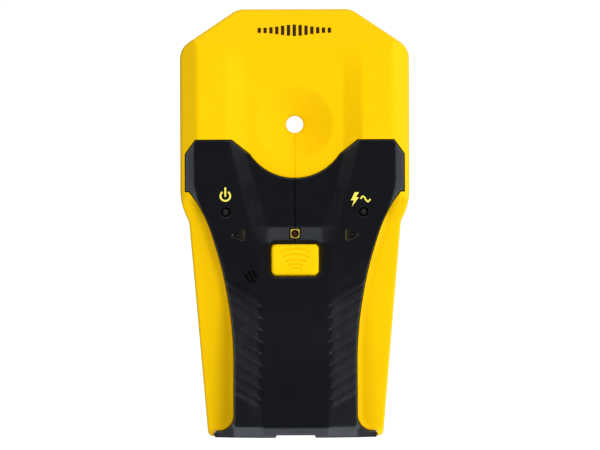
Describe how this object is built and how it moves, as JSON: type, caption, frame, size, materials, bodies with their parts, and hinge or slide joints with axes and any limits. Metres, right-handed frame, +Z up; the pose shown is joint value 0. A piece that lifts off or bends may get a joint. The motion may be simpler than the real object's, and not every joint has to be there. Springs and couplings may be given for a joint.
{
  "type": "stud finder",
  "caption": "Hand-held wall scanner: wide head with a pencil hole, waisted ribbed grip, press button, indicator lights and a rear battery door.",
  "frame": {"origin": "centre of the bounding box at the foot, where the tool stands", "axes": "+Z up along the tool towards the head, -Y out of the front with the button, +Y out of the flat sensing back, +X to the right seen from the front"},
  "size_m": [0.0824, 0.0312, 0.1541],
  "materials": {
    "yellow_plastic": "satin moulded ABS",
    "black_plastic": "fine satin moulded ABS",
    "led_lens": "dark red diffused epoxy, unlit",
    "circuit_board": "green solder mask",
    "copper_plate": "bare copper",
    "chip_body": "moulded epoxy",
    "plated_steel": "bright zinc plate",
    "spacer_plastic": "natural nylon",
    "battery_wrap": "printed metal jacket",
    "red_insulation": "PVC lead insulation"
  },
  "bodies": {
    "case": {"front_shell": "yellow_plastic", "rear_shell": "yellow_plastic", "grip_cover": "black_plastic", "switch_body": "chip_body", "led_power": "led_lens", "led_ac": "led_lens", "led_left": "led_lens", "led_centre": "led_lens", "led_right": "led_lens", "spacer_power": "spacer_plastic", "spacer_ac": "spacer_plastic", "spacer_left": "spacer_plastic", "spacer_centre": "spacer_plastic", "spacer_right": "spacer_plastic", "bezel_left": "yellow_plastic", "bezel_centre": "yellow_plastic", "bezel_right": "yellow_plastic", "main_pcb": "circuit_board", "electrode_left": "copper_plate", "electrode_centre": "copper_plate", "electrode_right": "copper_plate", "microcontroller": "chip_body", "sense_amplifier": "chip_body", "voltage_regulator": "chip_body", "quartz_crystal": "plated_steel", "filter_capacitor": "battery_wrap", "buzzer": "chip_body", "battery_case": "battery_wrap", "battery_positive": "plated_steel", "battery_negative": "plated_steel", "snap_connector": "black_plastic", "snap_socket": "plated_steel", "snap_stud": "plated_steel", "lead_red": "red_insulation", "lead_black": "black_plastic", "case_screw_1": "plated_steel", "case_screw_2": "plated_steel", "case_screw_3": "plated_steel", "case_screw_4": "plated_steel"},
    "button": {"button": "yellow_plastic"},
    "switch_plunger": {"switch_plunger": "chip_body"},
    "battery_door": {"battery_door": "yellow_plastic"}
  },
  "joints": [
    {"name": "button_press", "type": "slide", "parent": "case", "child": "button", "axis": [0, 1, 0], "range_m": [0, 0.0008], "stiffness_N_per_m": 1500, "springref_m": -0.0004},
    {"name": "switch_plunger_press", "type": "slide", "parent": "case", "child": "switch_plunger", "axis": [0, 1, 0], "range_m": [0, 0.0008]},
    {"name": "battery_door_swing", "type": "hinge", "parent": "case", "child": "battery_door", "pos_m": [0, 0.0156, 0.058], "axis": [1, 0, 0], "range_deg": [0, 100]}
  ],
  "couplings": [
    {"joint": "switch_plunger_press", "follows": "button_press", "ratio": 1}
  ]
}
